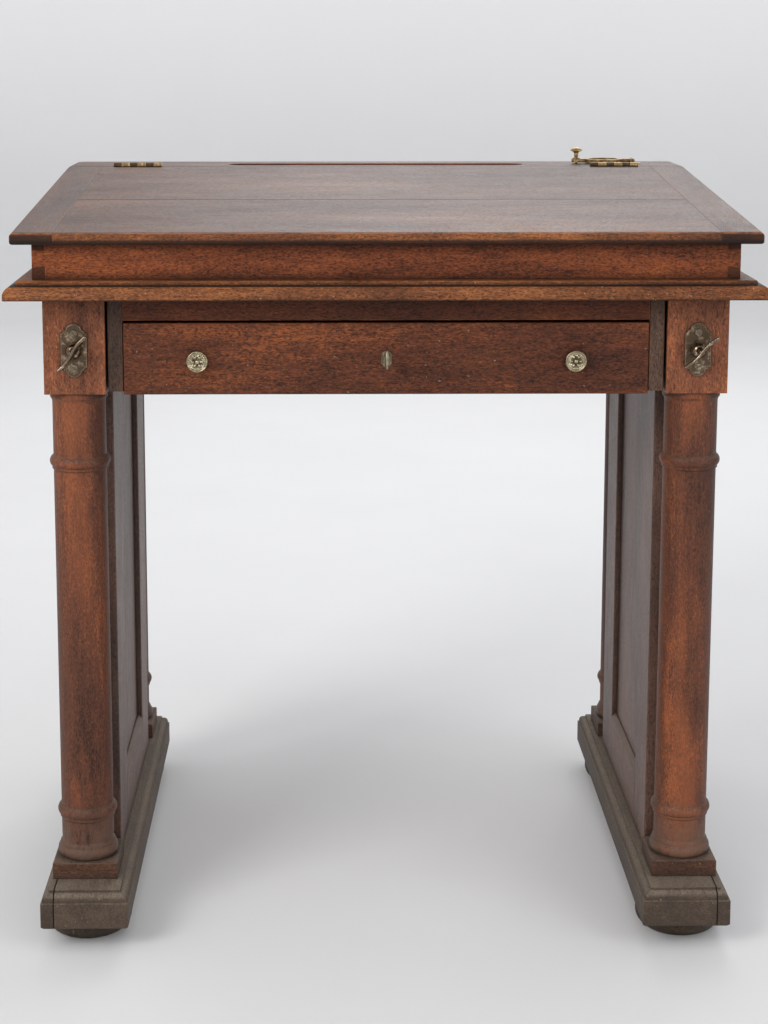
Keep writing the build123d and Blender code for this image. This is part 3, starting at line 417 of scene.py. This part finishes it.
# Painted shade: a dark line in the moulding's quirk and another under its lower edge
quirk_shade = ("Z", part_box("moulded_top")[1].z - 0.0050, 0.0010, 0.9)
under_edge_shade = ("Z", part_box("moulded_top")[0].z, 0.0022, 0.6)
plinth_seams = (
    ("X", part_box("plinth_left")[0].x, 0.0011, 0.95), ("X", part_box("plinth_right")[1].x, 0.0011, 0.95),
)

CORNERS = [f"{end}_{side}" for end in ("front", "back") for side in ("left", "right")]
LID_LOOK = {"rough": 0.46, "wear": 0.9, "shine": 0.25, "nick": PALE_NICK, "waviness": 0.0004}
BASE_LOOK = {"rough": 0.52, "nick": PALE_NICK, "worn": RUBBED_GREY}
CARCASS_LOOK = {"rough": 0.55, "specks": 0.2}
DRAWER_BOX_LOOK = {"rough": 0.7, "wear": 0.2, "specks": 0.1}

# Drawer front, slope case and moulded top
paint_oak(["drawer_front"], "x", FRONT_OAK, 1.4, rough=0.50, specks=0.6, nick=PALE_NICK)
paint_oak(["slope_case_front"], "x", CASE_OAK, 0.4, rough=0.52, specks=0.3)
paint_oak(
    ["moulded_top"], "x", MOULDING_OAK, 3.4,
    rough=0.46, wear=1.3, specks=0.9, nick=PALE_NICK, seams=(quirk_shade, under_edge_shade),
)
paint_oak(["slope_case_left", "slope_case_right"], "y", CASE_OAK, 5.3, rough=0.52)

# Posts and columns
paint_oak(
    [f"post_{corner}" for corner in CORNERS], "z", POST_OAK, 11.9, rough=0.48, wear=0.8, speckle=0.6
)
paint_oak(
    [f"column_{corner}" for corner in CORNERS], "z", COLUMN_OAK, 15.9,
    rough=0.42, wear=0.6, dust=0.25, rubbed_front=0.65, foot_dust=(0.10, 0.19), speckle=0.5,
)

# Drawer case and back
paint_oak(["case_top_rail"], "x", RAIL_OAK, 20.2, rough=0.5, specks=0.2)
paint_oak(["back_rail", "slope_case_back", "case_back_panel"], "x", CARCASS_OAK, 21.2, **CARCASS_LOOK)
paint_oak(["case_sides"], "y", CARCASS_OAK, 26.0, **CARCASS_LOOK)
paint_oak(["case_stiles"], "z", STILE_OAK, 28.0, dust=0.2, **CARCASS_LOOK)

# Lid and pen shelf
paint_oak(
    ["lid_front_board", "lid_rear_board"], "x", TOP_OAK, 31.5,
    seams=(*board_seams, *end_seams, nose_shade), edge_tones=MOULDING_OAK, **LID_LOOK,
)
paint_oak(["pen_shelf"], "x", TOP_OAK, 36.5, seams=board_seams[1:], edge_tones=RAIL_OAK, **LID_LOOK)
paint_oak(
    ["lid_end_left", "lid_end_right"], "y", TOP_OAK, 41.5,
    seams=(*end_seams, nose_shade), edge_tones=MOULDING_OAK, **LID_LOOK,
)

# Plinths, feet and the blocks under the columns
paint_oak(
    ["plinth_left", "plinth_right", "plinth_strips"], "y", BASE_OAK, 51.5,
    wear=0.8, dust=0.75, end_dark=0.15, seams=plinth_seams, **BASE_LOOK,
)
paint_oak(["bun_feet"], "x", BASE_OAK, 56.5, wear=0.4, dust=0.45, **BASE_LOOK)
paint_oak(["column_blocks"], "x", BLOCK_OAK, 58.5, wear=0.5, dust=0.35, end_dark=0.3, **BASE_LOOK)

# Side frames
paint_oak(
    ["side_stiles_left", "side_stiles_right", "side_panel_left", "side_panel_right"], "z", PANEL_OAK, 61.5,
    rough=0.42, wear=0.4, dust=0.2, specks=0.3, shine=0.5,
)
paint_oak(
    ["bottom_rail_left", "bottom_rail_right", "side_apron_left", "side_apron_right"], "y", PANEL_OAK, 66.5,
    rough=0.44, wear=0.4, dust=0.4, specks=0.3, shine=0.4,
)

# Drawer box
paint_oak(["drawer_back", "drawer_bottom"], "x", INNER_OAK, 71.5, **DRAWER_BOX_LOOK)
paint_oak(["drawer_sides"], "y", INNER_OAK, 76.5, **DRAWER_BOX_LOOK)

# Metal and glass
paint_metal(
    ["inkwell_ring", "inkwell_knob", "inkwell_bracket", "hinge_leaves_lid"],
    srgb(226, 200, 150), srgb(140, 114, 74), rough=0.30,
)
paint_metal(["hinge_leaves_shelf", "hinge_pins"], srgb(120, 98, 66), srgb(72, 58, 44), rough=0.42)
paint_metal(["escutcheon"], srgb(178, 164, 134), srgb(108, 98, 80), rough=0.36)
paint_metal(["key"], srgb(214, 204, 182), srgb(150, 140, 118), rough=0.30)
paint_metal(["clamp_plates"], srgb(164, 145, 122), srgb(90, 75, 61), rough=0.40, rim=0.0024)
paint_metal(["clamp_plate_screws"], srgb(176, 162, 138), srgb(118, 104, 86), rough=0.36)
paint_metal(
    ["guide_rods", "inkwell_pin", "lock_case", "lock_bolt"],
    srgb(150, 144, 132), srgb(92, 86, 76), rough=0.36,
)
paint(["inkwell_pot"], lambda name, index: ink_glass(name))


# ---------------------------------------------------------------- mesh helpers
def make_object(name, mesh):
    """Turns a finished bmesh into a smooth object in the scene."""
    data = bpy.data.meshes.new(name)
    mesh.to_mesh(data)
    mesh.free()
    data.shade_smooth()
    made = bpy.data.objects.new(name, data)
    bpy.context.scene.collection.objects.link(made)
    return made


def solid_from_rings(name, rings, cap_back=True):
    """A mesh over rings of points, with its front end capped and, if asked, its back end too."""
    mesh = bmesh.new()
    made = [[mesh.verts.new(point) for point in ring] for ring in rings]
    for low, high in zip(made, made[1:]):
        for i in range(len(low)):
            j = (i + 1) % len(low)
            mesh.faces.new((low[i], low[j], high[j], high[i]))
    if cap_back:
        mesh.faces.new(reversed(made[0]))
    mesh.faces.new(made[-1])
    bmesh.ops.recalc_face_normals(mesh, faces=mesh.faces)
    return make_object(name, mesh)


def turned_ring(centre, radius, around, out):
    """A ring of points about Y; out gives each point's distance in front of centre by its angle."""
    angles = [2 * pi * i / around for i in range(around)]
    return [centre + Vector((radius * cos(a), -out(a), radius * sin(a))) for a in angles]


# ---------------------------------------------------------------- drawer knobs with a cast rosette
PETALS, BEADS = 6, 24
# Where the boss, the petals and the beads end, in shares of the cast face's radius
BOSS_END, PETALS_END, BEADS_END = 0.20, 0.66, 0.84
# Heights of the relief in metres
BOSS_RISE, BOSS_FOOT, PETAL_RISE, PETAL_DIP = 0.0022, 0.0004, 0.0020, 0.0004
BEAD_RISE, BORDER_RISE = 0.0007, 0.0011
# The turned body from the drawer outwards: (share of rim radius, share of depth)
KNOB_PROFILE = (
    (0.72, 0.0), (0.72, 0.08), (0.62, 0.15), (0.42, 0.19), (0.36, 0.30), (0.38, 0.46), (0.56, 0.60),
    (0.84, 0.70), (0.97, 0.76), (1.0, 0.81), (0.985, 0.86),
)
FACE_LEVEL = 0.87
FACE_SHARE, RELIEF_SHARE = 0.965, 0.98
KNOB_AROUND, FACE_RINGS = 144, 34


def knob_height(share, angle):
    """Height of the cast face above its plane, at a share of its radius."""
    petals = 0.5 + 0.5 * cos(PETALS * angle)
    if share < BOSS_END:
        return BOSS_RISE * (1 - (share / BOSS_END) ** 2) ** 0.5 + BOSS_FOOT
    if share < PETALS_END:
        across = sin(pi * (share - BOSS_END) / (PETALS_END - BOSS_END))
        return PETAL_RISE * across * petals**0.6 - PETAL_DIP * (1 - petals)
    if share < BEADS_END:
        across = sin(pi * (share - PETALS_END) / (BEADS_END - PETALS_END))
        return BEAD_RISE * across * max(0.0, cos(BEADS * angle))
    return BORDER_RISE * sin(pi * (share - BEADS_END) / (1 - BEADS_END)) ** 0.5


def rosette_knob(name, centre, rim, depth):
    """A turned knob: collar, waisted neck, swelling back and a cast face looking to the front."""
    rings = [
        turned_ring(centre, radius * rim, KNOB_AROUND, lambda angle, share=share: share * depth)
        for radius, share in KNOB_PROFILE
    ]
    for step in range(FACE_RINGS, 0, -1):
        radius = FACE_SHARE * rim * step / FACE_RINGS
        share = radius / (RELIEF_SHARE * rim)
        rings.append(
            turned_ring(
                centre, radius, KNOB_AROUND,
                lambda angle, share=share: FACE_LEVEL * depth + knob_height(share, angle),
            )
        )
    return solid_from_rings(name, rings, cap_back=False)


knob_low, knob_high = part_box("drawer_knobs")
drawer_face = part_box("drawer_front")[0].y
knob_rim = (knob_high.z - knob_low.z) / 2
knob_metal = metal("knob_brass", srgb(226, 214, 184), srgb(150, 138, 112), rough=0.28, crevice_shade=0.95)
for side, x in (("left", knob_low.x + knob_rim), ("right", knob_high.x - knob_rim)):
    knob = rosette_knob(
        f"drawer_knob_{side}", Vector((x, drawer_face, (knob_low.z + knob_high.z) / 2)), knob_rim,
        drawer_face - knob_low.y,
    )
    knob.data.materials.append(knob_metal)
    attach(knob, "drawer")
    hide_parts("drawer_knobs")


# ---------------------------------------------------------------- clamp handles: domed hub and twisted wing
# All in metres
DOME_RADIUS, DOME_RISE, DOME_FOOT = 0.0092, 0.0086, 0.0006
NECK_RADIUS, NECK_TIP = 0.0038, 0.0004
WING_THICKNESS, WING_FLARE, WING_BEND = 0.0018, 0.0003, 0.0016
WEB_DROP = 0.0034
WING_INSET = 0.001
HANDLE_MARGIN = 0.002
HUB_AROUND, WING_STEPS = 48, 40


def hub(name, centre, reach):
    """The clamp screw's hub, turned about Y: a dome on the plate and a neck out to the wing."""
    profile = [(DOME_RADIUS, 0.0)]
    profile += [
        (DOME_RADIUS * cos(radians(a)), DOME_FOOT + DOME_RISE * sin(radians(a))) for a in range(0, 64, 7)
    ]
    profile += [(NECK_RADIUS, DOME_FOOT + DOME_RISE), (NECK_RADIUS, 0.60 * reach)]
    profile += [(NECK_RADIUS * 0.8, 0.86 * reach), (NECK_TIP, 0.94 * reach)]
    rings = [turned_ring(centre, radius, HUB_AROUND, lambda angle, out=out: out) for radius, out in profile]
    return solid_from_rings(name, rings)


def wing(name, centre, reach, half_length, tilt):
    """A curved wing: its rounded front edge runs up to the right, and a web joins it to the neck."""
    along = Vector((cos(tilt), 0, sin(tilt)))
    across = Vector((sin(tilt), 0, -cos(tilt)))
    out = Vector(FRONT)
    rings = []
    for i in range(WING_STEPS + 1):
        t = 2 * i / WING_STEPS - 1
        front = centre + along * (half_length * t) - across * (WING_BEND * sin(pi * t))
        front += out * (reach - WING_INSET)
        root = centre + along * (0.50 * half_length * t) + across * WEB_DROP + out * (0.42 * reach)
        root = front.lerp(root, 0.20 + 0.80 * (1 - t * t) ** 0.5)
        thick = WING_THICKNESS + WING_FLARE * t * t
        depth = (root - front).normalized()
        side = depth.cross(along).normalized() * thick
        rings.append(
            [
                front + side + depth * thick,
                front + side * 0.75 - depth * 0.2 * thick,
                front - depth * 0.7 * thick,
                front - side * 0.75 - depth * 0.2 * thick,
                front - side + depth * thick,
                root - side * 0.7,
                root + side * 0.7,
            ]
        )
    return solid_from_rings(name, rings)


clamp_metal = metal("clamp_bronze", srgb(208, 196, 178), srgb(112, 97, 80), rough=0.22, crevice_shade=0.5)
for side in ("left", "right"):
    low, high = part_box(f"clamp_handle_{side}")
    plate_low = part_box("clamp_plates")[0]
    axis = Vector(((low.x + high.x) / 2, plate_low.y, (low.z + high.z) / 2))
    reach = plate_low.y - low.y - HANDLE_MARGIN
    tilt = atan2(high.z - low.z, high.x - low.x)
    half_length = hypot(high.z - low.z, high.x - low.x) / 2 - HANDLE_MARGIN
    for piece in (
        hub(f"clamp_hub_{side}", axis, reach), wing(f"clamp_wing_{side}", axis, reach, half_length, tilt)
    ):
        piece.data.materials.append(clamp_metal)
        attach(piece, f"clamp_{side}")
        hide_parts(f"clamp_handle_{side}")


# ---------------------------------------------------------------- studio: floor, light, camera
BOWL_AROUND, FLOOR_RINGS, COVE_RINGS = 128, 6, 16


def studio_bowl(radius, cove, height):
    """A round pale floor that sweeps up into a wall all round, so that every view has a plain ground."""
    mesh = bmesh.new()
    section = [(radius * i / FLOOR_RINGS, 0.0) for i in range(1, FLOOR_RINGS + 1)]
    for i in range(1, COVE_RINGS + 1):
        turn = i * pi / 2 / COVE_RINGS
        section.append((radius + cove * sin(turn), cove * (1 - cos(turn))))
    section.append((radius + cove, height))
    centre = mesh.verts.new((0, 0, 0))
    angles = [2 * pi * i / BOWL_AROUND for i in range(BOWL_AROUND)]
    rings = [[mesh.verts.new((r * cos(a), r * sin(a), z)) for a in angles] for r, z in section]
    for i in range(BOWL_AROUND):
        mesh.faces.new((centre, rings[0][i], rings[0][(i + 1) % BOWL_AROUND]))
    for low, high in zip(rings, rings[1:]):
        for i in range(BOWL_AROUND):
            j = (i + 1) % BOWL_AROUND
            mesh.faces.new((low[i], high[i], high[j], low[j]))
    floor = make_object("studio_floor", mesh)
    floor.data.materials.append(paper_white("studio_white"))
    return floor


studio_bowl(radius=5.2, cove=1.6, height=4.5)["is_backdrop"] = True


def softbox(name, place, target, size, power, colour):
    """A square area light that looks at target."""
    light = bpy.data.lights.new(name, "AREA")
    light.shape = "SQUARE"
    light.size = size
    light.energy = power
    light.color = colour
    lamp = bpy.data.objects.new(name, light)
    lamp.location = place
    lamp.rotation_euler = (Vector(target) - Vector(place)).to_track_quat("-Z", "Y").to_euler()
    bpy.context.scene.collection.objects.link(lamp)


desk_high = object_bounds()[1]
desk_middle = Vector((0, 0, desk_high[2] / 2))
softbox("key_light", (-2.6, -3.0, 2.7), desk_middle, 1.8, 95, (1.0, 0.985, 0.96))
softbox("fill_light", (3.0, -2.6, 1.9), desk_middle, 2.2, 40, (0.95, 0.97, 1.0))
softbox("rear_light", (0.6, 3.4, 3.2), desk_middle, 2.4, 60, (0.97, 0.98, 1.0))

world = bpy.data.worlds.new("studio_world")
bpy.context.scene.world = world
world.use_nodes = True
background = world.node_tree.nodes["Background"]
background.inputs["Color"].default_value = (0.985, 0.99, 1.0, 1)
background.inputs["Strength"].default_value = 0.86

# Camera: just left of the middle and above the lid, turned a little right and down
CAMERA_PLACE = Vector((-0.0676, -2.5867, 1.0727))
CAMERA_TURN_RIGHT = 0.0113
CAMERA_TILT_DOWN = 0.1596
camera_data = bpy.data.cameras.new("camera")
camera_data.sensor_width = 36.0
camera_data.lens = 71.3
camera_data.shift_x = 0.033
camera_data.shift_y = -0.15
camera = bpy.data.objects.new("camera", camera_data)
bpy.context.scene.collection.objects.link(camera)
camera.location = CAMERA_PLACE
camera.rotation_euler = (pi / 2 - CAMERA_TILT_DOWN, 0, -CAMERA_TURN_RIGHT)
bpy.context.scene.camera = camera
bpy.context.scene.view_settings.view_transform = "Standard"
